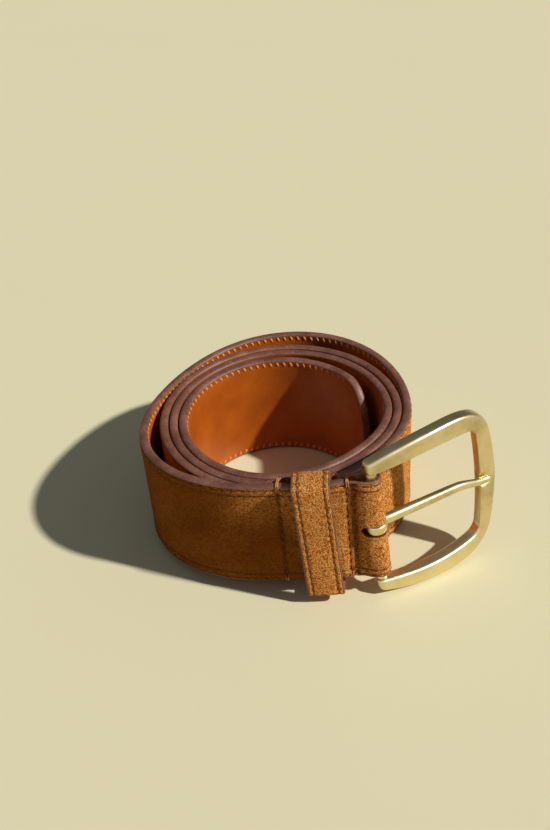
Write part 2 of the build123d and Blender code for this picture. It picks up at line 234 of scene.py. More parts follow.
facePath = joinPath(-1, sidePlaces, sideInwards)
sideSteps = lengthsAlong(sidePoints)
facePath["travel"] = np.concatenate([coilTravel[:-1], runTravel + sideSteps])
faceEnd = float(facePath["travel"][-1])
foldTravel = runTravel + float(sideSteps[foldStarts])


def travelAt(angle):
    return float(np.interp(angle, coilAngles, coilTravel))


tipStart = travelAt(coil["tipAngle"])
outerTurn = travelAt(coil["endAngle"] - coil["fineTurns"])
tipSweep = np.radians(np.linspace(90, -90, 61)[1:-1])


# A mesh object from points in millimetres
def meshPiece(name, points, faces, material, smooth=True, marks=None):
    mesh = bpy.data.meshes.new(name)
    mesh.from_pydata([tuple(p) for p in np.asarray(points, float) * mm], [], faces)
    for key, values in (marks or {}).items():
        layer = mesh.attributes.new(key, "FLOAT", "POINT")
        layer.data.foreach_set("value", np.asarray(values, np.float32).ravel())
    mesh.validate()
    build = bmesh.new()
    build.from_mesh(mesh)
    bmesh.ops.remove_doubles(build, verts=build.verts, dist=2e-6)
    bmesh.ops.dissolve_degenerate(build, edges=build.edges, dist=1e-7)
    bmesh.ops.recalc_face_normals(build, faces=build.faces)
    build.to_mesh(mesh)
    build.free()
    mesh.polygons.foreach_set("use_smooth", [smooth] * len(mesh.polygons))
    mesh.materials.append(material)
    piece = bpy.data.objects.new(name, mesh)
    bpy.context.scene.collection.objects.link(piece)
    return piece


def gridFaces(rows, columns, offset=0, flip=False):
    r, c = np.meshgrid(np.arange(rows - 1), np.arange(columns - 1), indexing="ij")
    a = (r * columns + c + offset).ravel()
    quads = np.stack([a, a + 1, a + columns + 1, a + columns], 1)
    return (quads[:, ::-1] if flip else quads).tolist()


# Columns follow the cut edge: up one side, round the tip and back down the other
def edgeColumns(end, coarse, fine):
    near = np.arange(tipStart, outerTurn, coarse)
    return np.concatenate([near, np.arange(outerTurn, end, fine), [end]])


def tipLine(leg, tall, long):
    return (np.concatenate([leg[::-1], leg[0] - long * np.cos(tipSweep), leg]),
            np.concatenate([np.full(len(leg), tall), tall * np.sin(tipSweep), np.full(len(leg), -tall)]))


# Rows are distances in from the cut edge, then shares of what is left to the middle
edgeRows = {"suede": [0.35, 0.55, 0.75, 0.95, 1.1, 1.25, 1.4, 1.6, 1.9, 2.4, 2.9, 3.15, 3.3, 3.45,
                      3.6, 3.8, 4.2, 5.0, 6.0],
            "lining": [0.4, 0.6, 0.8, 1.1, 1.4, 1.7, 2.0, 2.4, 3.0, 4.2, 6.0],
            "last": 6.0,
            "middle": [0.8, 0.6, 0.45, 0.35, 0.28, 0.22, 0.17, 0.11, 0.05, 0.0]}


def sheetGrid(rows, leg):
    travel, height, inset = [], [], []
    last = edgeRows["last"]
    spans = [(halfWidth - e, tipTravel - e, e) for e in rows]
    spans += [((halfWidth - last) * k, (tipTravel - last) * k, last + (halfWidth - last) * (1 - k))
              for k in edgeRows["middle"]]
    for tall, long, e in spans:
        along, up = tipLine(leg, tall, long)
        travel.append(along)
        height.append(up)
        inset.append(np.full(len(along), e))
    return np.array(travel), np.array(height), np.array(inset)


# A layer of leather with a shaped side and a plain back
def sheetPiece(name, path, rows, leg, shapedSide, backDepth, material, paintedLightNapOf=None):
    travel, height, inset = sheetGrid(rows, leg)
    depth, grooveAndPaintedShade = shapedSide(travel, height, inset)
    count, columns = travel.shape
    points = np.concatenate([put(path, travel, height, depth).reshape(-1, 3),
                             put(path, travel, height, backDepth).reshape(-1, 3)])
    second = count * columns
    faces = gridFaces(count, columns) + gridFaces(count, columns, second, True)
    faces += [(c + 1, c, second + c, second + c + 1) for c in range(columns - 1)]
    for c in (0, columns - 1):
        for r in range(count - 1):
            a, b = r * columns + c, (r + 1) * columns + c
            quad = (a, b, second + b, second + a)
            faces.append(quad if c == 0 else quad[::-1])
    marks = {"grooveAndPaintedShade": np.concatenate([grooveAndPaintedShade.ravel(), np.zeros(grooveAndPaintedShade.size)])}
    # the nap shares carry painted light and painted shade into the colour
    if paintedLightNapOf:
        marks["paintedLightNap"] = np.concatenate([paintedLightNapOf(travel, height).ravel()] * 2)
    return meshPiece(name, points, faces, material, marks=marks)


# Repeatable soft unevenness of hand-cut leather
def waver(travel, height, scale, seed):
    total = np.zeros(np.broadcast(travel, height).shape)
    for k in range(5):
        a = seed + 1.7 * k
        u, v = math.cos(a * 2.3), math.sin(a * 2.3)
        size = scale * (0.6 + 0.45 * k)
        total = total + np.sin((travel * u + height * v) / size * 2 * math.pi + a * 5) / (1 + 0.4 * k)
    return total / 3


holes = {"diameter": 4.5, "pitch": 25.0, "count": 5, "start": 118.0, "reach": 1.9,
         "slotHeight": 4.0, "slotLength": 4.5}  # the slot is the opening for the prong
slotHalf = holes["slotHeight"] / 2
slotEnd = (run["barAt"] - holes["slotLength"] + slotHalf, -1.0)
slotTravel = foldTravel + float(np.hypot(*(np.array(slotEnd) - np.array(frontLeave))))

# Rows of stitches, in from the cut edge. The grooves they pull into the leather follow them.
stitching = {
    "face": {"rows": (1.25, 3.45), "pitch": 3.2, "length": 2.3, "slant": 0.0, "radius": 0.27,
             "lift": 0.05, "sink": 0.28, "depth": 0.2, "outward": -1},
    "back": {"rows": (1.75,), "pitch": 2.5, "length": 2.2, "slant": 72.0, "radius": 0.6,
             "lift": 0.0, "sink": 0.26, "depth": coil["leather"] - 0.4, "outward": 1},
    "keeper": {"rows": (1.9,), "pitch": 2.9, "length": 2.0, "slant": 0.0, "radius": 0.24,
               "lift": 0.04, "sink": 0.26, "depth": 0.22, "outward": -1},
}

suedeShape = {
    "seamDepth": 0.3,
    "seamWidth": 0.27,
    "puff": 0.1,  # leather raised between the two rows
    "crossDepth": 0.5,  # seams across the strap at the keeper's pocket
    "crossWidth": 0.5,
    "crossSwell": 0.16,
    "crossLean": (0.044, 0.05),  # neither seam is quite square to the edge
    "valley": 1.0,  # sharp dip before the fold
    "valleyAt": 1.8,
    "valleyWidth": 1.0,
    "lip": 0.35,  # leather pushed up round the opening for the prong
    "waver": 0.07,
}


# The groove mark that comes back also darkens the suede's colour: painted shade in the stitch grooves,
# the seams across the strap and the valley before the fold
def suedeSide(travel, height, inset):
    s, rows, pitch = suedeShape, stitching["face"]["rows"], stitching["face"]["pitch"]
    grooveAndPaintedShade = np.zeros_like(travel)
    for row in rows:
        grooveAndPaintedShade = np.maximum(grooveAndPaintedShade, bell(inset - row, s["seamWidth"]) * ripple(travel, pitch, 0.25))
    between = np.clip((inset - rows[0]) / (rows[1] - rows[0]), 0, 1)
    depth = s["seamDepth"] * grooveAndPaintedShade - s["puff"] * np.sin(between * math.pi)
    for at, lean in zip((run["leftSeam"] + 0.5, run["rightSeam"]), s["crossLean"]):
        across = travel - runTravel - at - lean * height
        valley = bell(across, s["crossWidth"]) * ripple(height, pitch, 0.2)
        swell = bell(np.abs(across) - 1.7, 0.9)
        depth = depth + s["crossDepth"] * valley - s["crossSwell"] * swell * smoothStep((inset - 0.6) / 2)
        grooveAndPaintedShade = np.maximum(grooveAndPaintedShade, valley)
    depth = depth + s["waver"] * waver(travel, height, 11, 0.4) * smoothStep((inset - 0.8) / 3)
    # the valley before the fold; its mark darkens the colour as painted shade
    dip = bell(across - s["valleyAt"], s["valleyWidth"])
    depth = depth + s["valley"] * dip
    grooveAndPaintedShade = np.maximum(grooveAndPaintedShade, 0.8 * dip)
    fromSlot = np.hypot(np.minimum(travel - slotTravel, 0), np.abs(height)) - slotHalf
    depth = depth - s["lip"] * (bell(fromSlot - 0.7, 0.7) * (travel < slotTravel + 6))
    return depth + 0.3 * smoothStep((0.9 - inset) / 0.55), grooveAndPaintedShade


# How the nap lies: 0 stroked down and dark, 1 lifted and pale. The shares are pale where the sun falls on
# the strap and dark where it is in shade: painted light and painted shade.
napSharesWithPaintedLight = {
    "turns": [(960, 0.4), (1020, 0.9), (1045, 1.0), (1090, 1.0), (1130, 0.6), (1200, 0.25), (1270, 0.05),
              (1310, 0.08)],
    "run": [(0.0, 0.05), (4.0, 0.05), (9.0, 0.4), (20.0, 1.0), (26.0, 0.6), (30.0, 0.9), (45.0, 0.9)],
    # the keeper is pale all over, as painted light
    "keeper": 0.95,
    "paintedLitPatch": 0.4,  # painted light: a pale patch near the top edge, before the left seam
}


def paintedLightNapAt(travel, height):
    knots = [travelAt(angle) for angle, _ in napSharesWithPaintedLight["turns"]]
    knots += [runTravel + at for at, _ in napSharesWithPaintedLight["run"]]
    shares = [share for _, share in napSharesWithPaintedLight["turns"] + napSharesWithPaintedLight["run"]]
    share = np.interp(travel + 0.25 * height, knots, shares)
    # a pale patch of painted light near the top edge
    patch = smoothStep((height - 1) / 12) * bell(travel - runTravel + 9 - 0.5 * height, 9)
    return np.clip(share + napSharesWithPaintedLight["paintedLitPatch"] * patch + 0.08 * waver(travel, height, 23, 5.0), 0, 1)


liningShape = {"thickness": 1.05, "seamRow": 1.65, "seamWidth": 0.7, "seamDepth": 0.14, "waver": 0.05}


# The groove mark also darkens the lining's colour: painted shade along the seam row
def liningSide(travel, height, inset):
    s = liningShape
    grooveAndPaintedShade = bell(inset - s["seamRow"], s["seamWidth"])
    depth = coil["leather"] - s["seamDepth"] * grooveAndPaintedShade
    depth = depth - s["waver"] * waver(travel, height, 17, 2.1) * smoothStep((inset - 0.8) / 3)
    return depth - 0.3 * smoothStep((0.9 - inset) / 0.55), grooveAndPaintedShade * 0.5


# Materials, all from nodes. An input is given a value, or the output of another node.
def setInputs(tree, node, inputs):
    for socket, value in inputs.items():
        if isinstance(value, bpy.types.NodeSocket):
            tree.links.new(value, node.inputs[socket])
        else:
            node.inputs[socket].default_value = value


def newNode(tree, kind, output, inputs=None, **settings):
    node = tree.nodes.new("ShaderNode" + kind)
    for key, value in settings.items():
        setattr(node, key, value)
    setInputs(tree, node, inputs or {})
    return node.outputs[output]


def newMaterial(name):
    material = bpy.data.materials.new(name)
    material.use_nodes = True
    tree = material.node_tree
    return material, tree, tree.nodes["Principled BSDF"], newNode(tree, "TexCoord", "Object")


def noiseNode(tree, where, scale, detail=2.0, roughness=0.5):
    return newNode(tree, "TexNoise", "Fac", {"Vector": where, "Scale": scale, "Detail": detail,
                                             "Roughness": roughness})


def rampNode(tree, value, stops):
    ramp = tree.nodes.new("ShaderNodeValToRGB")
    while len(ramp.color_ramp.elements) < len(stops):
        ramp.color_ramp.elements.new(0.5)
    for element, (at, colour) in zip(ramp.color_ramp.elements, stops):
        element.position = at
        element.color = (*colour, 1)
    tree.links.new(value, ramp.inputs["Fac"])
    return ramp.outputs["Color"]


def mixNode(tree, kind, share, a, b):
    return newNode(tree, "Mix", 2, {0: share, 6: a, 7: b}, data_type="RGBA", blend_type=kind)


def mathNode(tree, kind, a, b):
    return newNode(tree, "Math", 0, {0: a, 1: b}, operation=kind)


def bumpNode(tree, height, strength, distance, below=None):
    inputs = {"Height": height, "Strength": strength, "Distance": distance}
    if below:
        inputs["Normal"] = below
    return newNode(tree, "Bump", "Normal", inputs)


def markNode(tree, name):
    return newNode(tree, "Attribute", "Fac", attribute_name=name)


# Two values added in given shares
def blendNode(tree, a, shareA, b, shareB):
    return mathNode(tree, "ADD", mathNode(tree, "MULTIPLY", a, shareA),
                    mathNode(tree, "MULTIPLY", b, shareB))


def roughNode(tree, value, low, high):
    return newNode(tree, "MapRange", "Result", {"Value": value, "To Min": low, "To Max": high})


suedeLook = {
    "dark": (0.27, 0.066, 0.004),  # nap lifted, from the roots to the tips: the lit colours, painted light
    "mid": (0.86, 0.285, 0.046),
    "pale": (1.0, 0.60, 0.23),
    "napInPaintedShadeDark": (0.17, 0.041, 0.0010),  # nap stroked down: the shaded colours, painted shade
    "napInPaintedShadePale": (0.34, 0.086, 0.003),
    "nap": 2000.0,  # grains in a metre
    "clouds": 90.0,
    "napDepth": 0.0017,
    "cloudDepth": 0.0006,
    # painted shade for the grooves, the seams and the valley
    "grooveAndPaintedShadeColour": (0.22, 0.14, 0.08, 1),
    "roughness": 0.95,
    "sheen": 0.08,
    "sheenTint": (1.0, 0.55, 0.2, 1),
}


def suedeMaterial(name, look):
    material, tree, shader, where = newMaterial(name)
    fine = noiseNode(tree, where, look["nap"], 3.0, 0.6)
    clumps = noiseNode(tree, where, look["nap"] / 3.2, 2.0)
    clouds = noiseNode(tree, where, look["clouds"], 3.0)
    nap = blendNode(tree, fine, 0.8, clumps, 0.2)
    napInPaintedLight = rampNode(tree, nap, [(0.38, look["dark"]), (0.5, look["mid"]), (0.62, look["pale"])])
    napInPaintedShade = rampNode(tree, nap, [(0.35, look["napInPaintedShadeDark"]), (0.65, look["napInPaintedShadePale"])])
    # Painted light and shade: the nap shares mix the shaded colours into the lit ones
    colour = mixNode(tree, "MIX", markNode(tree, "paintedLightNap"), napInPaintedShade, napInPaintedLight)
    uneven = rampNode(tree, clouds, [(0.3, (0.72, 0.70, 0.68)), (0.7, (1.0, 1.0, 1.0))])
    colour = mixNode(tree, "MULTIPLY", 0.6, colour, uneven)
    # Painted shade: darker in the stitch grooves, the seams across the strap and the valley before the
    # fold
    seam = mathNode(tree, "MULTIPLY", markNode(tree, "grooveAndPaintedShade"), 0.85)
    colour = mixNode(tree, "MULTIPLY", seam, colour, look["grooveAndPaintedShadeColour"])
    soft = bumpNode(tree, clouds, 0.4, look["cloudDepth"])
    setInputs(tree, shader, {
        "Base Color": colour, "Normal": bumpNode(tree, nap, 1.0, look["napDepth"], soft),
        "Roughness": look["roughness"], "Specular IOR Level": 0.02, "Sheen Roughness": 0.5,
        "Sheen Weight": look["sheen"], "Sheen Tint": look["sheenTint"]})
    return material


liningLook = {"deep": (0.30, 0.058, 0.0016), "tan": (0.39, 0.082, 0.0030), "warm": (0.46, 0.110, 0.006),
              "grooveAndPaintedShade": (0.55, 0.42, 0.32, 1), "roughness": 0.42, "clouds": 70.0, "creases": 420.0,
              "pores": 2600.0}


def liningMaterial(name, look):
    material, tree, shader, where = newMaterial(name)
    clouds = noiseNode(tree, where, look["clouds"], 4.0, 0.55)
    pores = noiseNode(tree, where, look["pores"], 2.0)
    creases = noiseNode(tree, where, look["creases"], 3.0, 0.6)
    colour = rampNode(tree, clouds, [(0.25, look["deep"]), (0.5, look["tan"]), (0.75, look["warm"])])
    # Painted shade: darker along the seam groove
    seam = mathNode(tree, "MULTIPLY", markNode(tree, "grooveAndPaintedShade"), 0.5)
    colour = mixNode(tree, "MULTIPLY", seam, colour, look["grooveAndPaintedShade"])
    rough = roughNode(tree, creases, look["roughness"] - 0.08, look["roughness"] + 0.14)
    soft = bumpNode(tree, creases, 0.35, 0.00025)
    setInputs(tree, shader, {"Base Color": colour, "Roughness": rough, "Specular IOR Level": 0.45,
                             "Normal": bumpNode(tree, pores, 0.35, 0.00006, soft)})
    return material


edgeLook = {"dark": (0.080, 0.026, 0.015), "mid": (0.165, 0.062, 0.038), "worn": (0.26, 0.115, 0.08),
            "roughness": 0.44, "clouds": 160.0, "grain": 1300.0}


def edgeMaterial(name, look):
    material, tree, shader, where = newMaterial(name)
    clouds = noiseNode(tree, where, look["clouds"], 4.0, 0.6)
    grain = noiseNode(tree, where, look["grain"], 3.0, 0.6)
    both = blendNode(tree, clouds, 0.6, grain, 0.4)
    colour = rampNode(tree, both, [(0.32, look["dark"]), (0.5, look["mid"]), (0.66, look["worn"])])
    rough = roughNode(tree, grain, look["roughness"] - 0.1, look["roughness"] + 0.2)
    setInputs(tree, shader, {"Base Color": colour, "Roughness": rough, "Specular IOR Level": 0.5,
                             "Normal": bumpNode(tree, grain, 0.4, 0.00012)})
    return material


threadLook = {"face": ((0.07, 0.020, 0.003), (0.26, 0.085, 0.015)),  # dark and pale; the face thread is darker than the suede, painted shade for the stitch holes
              "back": ((0.46, 0.15, 0.035), (0.78, 0.34, 0.11)),
              "loop": ((0.22, 0.075, 0.018), (0.62, 0.26, 0.09)), "twist": 2600.0}


def threadMaterial(name, colours):
    material, tree, shader, where = newMaterial(name)
    twist = noiseNode(tree, where, threadLook["twist"], 2.0)
    colour = rampNode(tree, twist, list(zip((0.35, 0.65), colours)))
    setInputs(tree, shader, {"Base Color": colour, "Roughness": 0.7, "Specular IOR Level": 0.15,
                             "Normal": bumpNode(tree, twist, 0.5, 0.0001)})
    return material


brassLook = {"deep": (0.40, 0.30, 0.12), "satin": (0.76, 0.62, 0.33), "pale": (0.88, 0.77, 0.50),
             "roughness": 0.3, "clouds": 60.0, "brushing": 900.0}


def brassMaterial(name, look):
    material, tree, shader, where = newMaterial(name)
    clouds = noiseNode(tree, where, look["clouds"], 4.0, 0.6)
    brushing = noiseNode(tree, where, look["brushing"], 3.0, 0.6)
    colour = rampNode(tree, clouds, [(0.25, look["deep"]), (0.5, look["satin"]), (0.8, look["pale"])])
    rough = roughNode(tree, brushing, look["roughness"] - 0.06, look["roughness"] + 0.12)
    setInputs(tree, shader, {"Base Color": colour, "Roughness": rough, "Metallic": 1.0,
                             "Normal": bumpNode(tree, brushing, 0.12, 0.00004)})
    return material


suede = suedeMaterial("tanSuede", suedeLook)
liningTan = liningMaterial("smoothLining", liningLook)
edgePaint = edgeMaterial("paintedEdge", edgeLook)
# the face thread is dark as painted shade for the stitch holes
faceThreadInPaintedShade = threadMaterial("faceThreadInPaintedShade", threadLook["face"])
backThread = threadMaterial("backThread", threadLook["back"])
loopThread = threadMaterial("loopThread", threadLook["loop"])
brass = brassMaterial("satinBrass", brassLook)
print("materials made")

# Suede face with its fold and flap, and the lining
fineRun = np.concatenate([np.arange(runTravel - 2, runTravel + 5, 0.3),
                          np.arange(foldTravel - 4, faceEnd, 0.4)])
leg = np.unique(np.round(np.concatenate([edgeColumns(faceEnd, 2.0, 0.8), fineRun]), 3))
suedeFace = sheetPiece("suedeFace", facePath, edgeRows["suede"], leg, suedeSide, coil["suede"], suede,
                       paintedLightNapAt)
print("suede", len(suedeFace.data.polygons))

leg = edgeColumns(runTravel + run["rightSeam"] + 1.0, 1.6, 1.2)
lining = sheetPiece("liningLeather", strap, edgeRows["lining"], leg, liningSide,
                    coil["leather"] - liningShape["thickness"], liningTan)
print("lining", len(lining.data.polygons))

# Punched holes and the opening for the prong are cut through the leather
def cutterPiece(name, outline, centre, right, up, through, reach):
    points = [centre + right * x + up * y + through * reach * side
              for side in (-1, 1) for x, y in outline]
    count = len(outline)
    faces = [tuple(range(count)), tuple(range(2 * count - 1, count - 1, -1))]
    faces += [(k, (k + 1) % count, count + (k + 1) % count, count + k) for k in range(count)]
    return meshPiece(name, points, faces, suede, smooth=False)


def joinWith(piece, other, operation):
    join = piece.modifiers.new("join", "BOOLEAN")
    join.operation = operation
    join.solver = "EXACT"
    join.object = other


def settle(piece):
    bpy.context.view_layer.update()
    shown = piece.evaluated_get(bpy.context.evaluated_depsgraph_get())
    mesh = bpy.data.meshes.new_from_object(shown)
    piece.modifiers.clear()
    piece.data = mesh


# The holes are placed by walking along the middle of the leather in steps of a degree
def angleAt(travel):
    angle, degree = coil["startAngle"], math.radians(1)
    while travel > 0:
        travel -= degree * (turnRadius(angle) + coil["leather"] / 2)
        angle += 1
    return angle + travel / (degree * turnRadius(angle))


ring = [(math.cos(a), math.sin(a)) for a in np.linspace(0, 2 * math.pi, 41)[:-1]]
cutters = []
for index in range(holes["count"]):
    angle = np.array([angleAt(holes["start"] + index * holes["pitch"])])
    place, inwards, up, along = [part[0] for part in coilFrames(angle)]
    radius = holes["diameter"] / 2
    cutters.append(cutterPiece(f"punch{index}", [(x * radius, y * radius) for x, y in ring],
                               place + inwards * coil["leather"] / 2, along, up, inwards, holes["reach"]))
slotOutline = [(-holes["slotLength"] + slotHalf + slotHalf * math.cos(a), slotHalf * math.sin(a))
               for a in np.linspace(math.pi / 2, math.pi * 1.5, 24)] + [(6.0, -slotHalf), (6.0, slotHalf)]
barCentre = runPoint(run["barAt"], barDepth)
slotCutter = cutterPiece("prongOpening", slotOutline, barCentre, runAlong, runUp, runInwards, 9.0)
for cutter in cutters:
    joinWith(suedeFace, cutter, "DIFFERENCE")
    joinWith(lining, cutter, "DIFFERENCE")
joinWith(suedeFace, slotCutter, "DIFFERENCE")
settle(suedeFace)
settle(lining)
for cutter in cutters + [slotCutter]:
    bpy.data.objects.remove(cutter)
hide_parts("strap_face")
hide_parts("strap_lining")
for piece, slot in ((suedeFace, "suede"), (lining, "lining")):
    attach(piece, "strap")
print("holes cut")

# Painted edges: a rounded rim over the whole thickness, all round the billet
thickRim = [(1.0, 0.35), (0.75, 0.09), (0.52, 0.13), (0.35, 0.28), (0.22, 0.48), (0.11, 0.72),
            (0.03, 1.07), (0.0, 1.45), (0.03, 1.83), (0.11, 2.18), (0.22, 2.42), (0.35, 2.62),
            (0.52, 2.77), (0.75, 2.82), (1.0, 2.55)]  # in from the cut edge, and depth
thinRim = [(0.85, 0.4), (0.62, 0.14), (0.42, 0.1), (0.22, 0.2), (0.07, 0.38), (0.0, 0.63),
           (0.07, 0.88), (0.22, 1.06), (0.42, 1.16), (0.62, 1.12), (0.85, 0.85)]


# Strips of rim, each closed along its back and at both ends
def rimPiece(name, strips):
    points, faces = [], []
    for rows in strips:
        rows = np.array(rows)
        count, columns = rows.shape[:2]
        offset = sum(len(p) for p in points)
        last = offset + (count - 1) * columns
        points.append(rows.reshape(-1, 3))
        faces += gridFaces(count, columns, offset)
        faces += [(last + c, last + c + 1, offset + c + 1, offset + c) for c in range(columns - 1)]
        faces.append([offset + r * columns for r in range(count)])
        faces.append([offset + r * columns + columns - 1 for r in range(count)][::-1])
    return meshPiece(name, np.concatenate(points), faces, edgePaint)


# Side 0 runs round the tip, 1 and -1 are the upper and the lower edge alone
def rimRows(path, rim, leg, side):
    rows = []
    for e, d in rim:
        travel, height = leg, side * (halfWidth - e)
        if not side:
            travel, height = tipLine(leg, halfWidth - e, tipTravel - e)
        wave = 0.05 * waver(travel, 0, 7, 1.3 + side)
        rows.append(put(path, travel, height - np.sign(height) * wave * 0.5, d))
    return rows


leg = edgeColumns(runTravel + run["rightSeam"] + 0.7, 1.2, 0.8)
strapRim = rimPiece("strapEdges", [rimRows(strap, thickRim, leg, 0)])
leg = np.arange(foldTravel - 1.9, faceEnd, 0.4)
foldRim = rimPiece("foldEdges", [rimRows(facePath, thinRim, leg, side) for side in (1, -1)])
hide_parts("strap_core")
for piece in (strapRim, foldRim):
    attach(piece, "strap")
print("edges painted")


# Stitches are short rounded threads that dip into the leather at both ends
def threadArch(lift, sink):
    u = np.linspace(-0.5, 0.5, 7)
    return u, lift * (1 - (2 * u) ** 2) - sink * (2 * u) ** 4


def stitchRows(path, first, last, half, style):
    u, arch = threadArch(style["lift"], style["sink"])
    starts = np.arange(first, last, style["pitch"])[:, None]
    groups = []
    for row in style["rows"]:
        for side in (1, -1):
            slant = side * math.radians(style["slant"])
            travel = starts + u * style["length"] * math.cos(slant)
            height = side * (half - row) + u * style["length"] * math.sin(slant)
            lines = put(path, travel, height, style["depth"] + style["outward"] * arch)
            groups.append((lines, style["radius"]))
    return groups


def tubeMesh(lines, radius):
    sides, taper = 8, 0.55
    lines = np.asarray(lines, float)
    count, rings = lines.shape[:2]
    ahead = unit(np.gradient(lines, axis=1))
    helper = np.where(np.abs(ahead[..., 2:3]) > 0.8, (1.0, 0, 0), (0, 0, 1.0))
    across = unit(np.cross(ahead, helper))
    third = np.cross(ahead, across)
    u = np.linspace(-1, 1, rings)
    size = radius * (1 - (1 - taper) * np.abs(u) ** 3)
    angles = np.linspace(0, 2 * math.pi, sides + 1)[:-1]
    ringPoints = (lines[:, :, None, :] + size[None, :, None, None]
                  * (across[:, :, None, :] * np.cos(angles)[:, None]
                     + third[:, :, None, :] * np.sin(angles)[:, None]))
    faces = []
    for n in range(count):
        base = n * rings * sides
        for r in range(rings - 1):
            for k in range(sides):
                a, b = base + r * sides + k, base + r * sides + (k + 1) % sides
                faces.append((a, b, b + sides, a + sides))
        faces.append([base + k for k in range(sides)][::-1])
        faces.append([base + (rings - 1) * sides + k for k in range(sides)])
    return ringPoints.reshape(-1, 3), faces


def threadPiece(name, groups, material):
    points, faces = [], []
    for lines, radius in groups:
        some, quads = tubeMesh(lines, radius)
        offset = sum(len(p) for p in points)
        points.append(some)
        faces += [[offset + k for k in quad] for quad in quads]
    return meshPiece(name, np.concatenate(points), faces, material)


face, back = stitching["face"], stitching["back"]
faceStitches = threadPiece("faceStitching", (
    stitchRows(facePath, outerTurn, runTravel + run["leftSeam"] - 1.5, halfWidth, face)
    + stitchRows(facePath, runTravel + run["leftSeam"] + 2, foldTravel - 2.5, halfWidth, face)
    + stitchRows(facePath, foldTravel + 1.5, foldTravel + 13.5, halfWidth, face)), faceThreadInPaintedShade)
backStitches = threadPiece("liningStitching", (
    stitchRows(strap, tipStart + 1.0, travelAt(366), halfWidth, back)
    + stitchRows(strap, travelAt(1075), travelAt(1340), halfWidth, back)), backThread)

seams = {"count": 11, "pitch": 3.2, "length": 2.1, "radius": 0.3, "loopRadius": 0.3, "loopOut": 0.22}


# Seams across the strap hold the keeper's pocket shut, with loops of thread over both edges
def crossSeamPiece(name, seamAt, seamLean):
    heights = (np.arange(seams["count"]) - (seams["count"] - 1) / 2) * seams["pitch"]
    u, arch = threadArch(0.04, 0.3)
    height = heights[:, None] + u * seams["length"]
    base = runPoint(seamAt + seamLean * height, 0) + height[..., None] * runUp
    groups = [(base + (depthAt + outward * arch)[None, :, None] * runInwards, seams["radius"])
              for depthAt, outward in ((0.3, -1), (flapOut - 0.1, 1))]
    rows = threadPiece(name + "Rows", groups, faceThreadInPaintedShade)
    out = seams["loopOut"]
    # past the edge of the strap, and depth, from the face over the edge to the back
    route = [(-2.4, 0.25), (-1.4, -0.12), (-0.4, -0.16), (out * 0.8, 0.5), (out, 1.6), (out, 2.9),
             (out * 0.8, flapOut - 0.4), (-0.4, flapOut + 0.16), (-1.6, flapOut + 0.1),
             (-2.4, flapOut - 0.3)]
    groups = []
    for side in (1, -1):
        edgeAt = seamAt + seamLean * side * halfWidth
        for offset, lean in ((-0.35, 0.5), (0.4, -0.3)):
            line = [runPoint(edgeAt + offset + lean * k / 9, depth) + side * (halfWidth + past) * runUp
                    for k, (past, depth) in enumerate(route)]
            groups.append(([line], seams["loopRadius"]))
    return rows, threadPiece(name + "Loops", groups, loopThread)


leftSeam, leftLoops = crossSeamPiece("leftSeam", run["leftSeam"] + 0.5, suedeShape["crossLean"][0])
rightSeam, rightLoops = crossSeamPiece("rightSeam", run["rightSeam"], suedeShape["crossLean"][1])
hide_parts("left_seam_stitches")
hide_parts("right_seam_stitches")
for piece in (faceStitches, backStitches, leftSeam, rightSeam, leftLoops, rightLoops):
    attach(piece, "strap")
print("strap stitched")

# Keeper: a loop of suede round the strap, with its own painted edges and rows of stitches
keeper = {
    "at": 14.7,  # middle, along the straight run
    "width": 11.8,
    "front": -5.0,  # outside of the loop, in depth from the suede side
    "back": 4.2,
    "half": 22.6,  # outside of the loop, above
    "hang": 23.8,  # and below
    "thickness": 1.4,
    "backThickness": 1.1,
    "corner": 2.3,
    "crown": 0.25,  # front bulges this much
}


def keeperPath():
    k = keeper
    corners = [(k["back"], -k["hang"]), (k["front"], -k["hang"]), (k["front"], k["half"]),
               (k["back"], k["half"])]
    points = [(k["back"], 0.0)]
    for (x, y), first in zip(corners, (0, -90, 180, 90)):
        sx, sy = (-1 if x > 0 else 1), (-1 if y > 0 else 1)
        radius = k["corner"] if x < 0 else 1.5
        centre = (x + sx * radius, y + sy * radius)
        for step in range(9):
            a = math.radians(first - 90 * step / 8)
            points.append((centre[0] + radius * math.cos(a), centre[1] + radius * math.sin(a)))
    points.append((k["back"], 0.0))
    points = soften(densify(points, 0.4), 2)
    crown = k["crown"] * np.clip(1 - (points[:, 1] / (k["half"] - k["corner"])) ** 2, 0, 1)
    points[:, 0] = points[:, 0] - np.where(points[:, 0] < k["front"] + 0.3, crown, 0)
    ahead = unit(np.gradient(points, axis=0))
    inside = np.stack([ahead[:, 1], -ahead[:, 0]], 1)
    places = runPoint(k["at"], points[:, 0]) + points[:, 1:] * runUp
    inwards = inside[:, :1] * runInwards + inside[:, 1:] * runUp
    return {"travel": lengthsAlong(points), "place": places, "in": inwards,
            "up": np.tile(runAlong, (len(points), 1)),
            "thick": np.interp(points[:, 0], (-2.0, 3.0), (k["thickness"], k["backThickness"]))}


loop = keeperPath()
loopEnd = loop["travel"][-1]
loopTravel = np.arange(0.1, loopEnd - 0.1, 0.4)
loopThick = np.interp(loopTravel, loop["travel"], loop["thick"])
keeperHalf = keeper["width"] / 2


# The groove mark also darkens the keeper's colour: painted shade along the stitch rows
def keeperSide(travel, inset):
    seamRow, pitch = stitching["keeper"]["rows"][0], stitching["keeper"]["pitch"]
    grooveAndPaintedShade = bell(inset - seamRow, 0.3) * ripple(travel, pitch, 0.25)
    depth = 0.26 * grooveAndPaintedShade + 0.28 * smoothStep((0.72 - inset) / 0.45)
    depth = depth + 0.05 * waver(travel, inset, 6, 3.3) * smoothStep((inset - 1) / 2)
    return depth - 0.1 * smoothStep((inset - seamRow) / 2), grooveAndPaintedShade


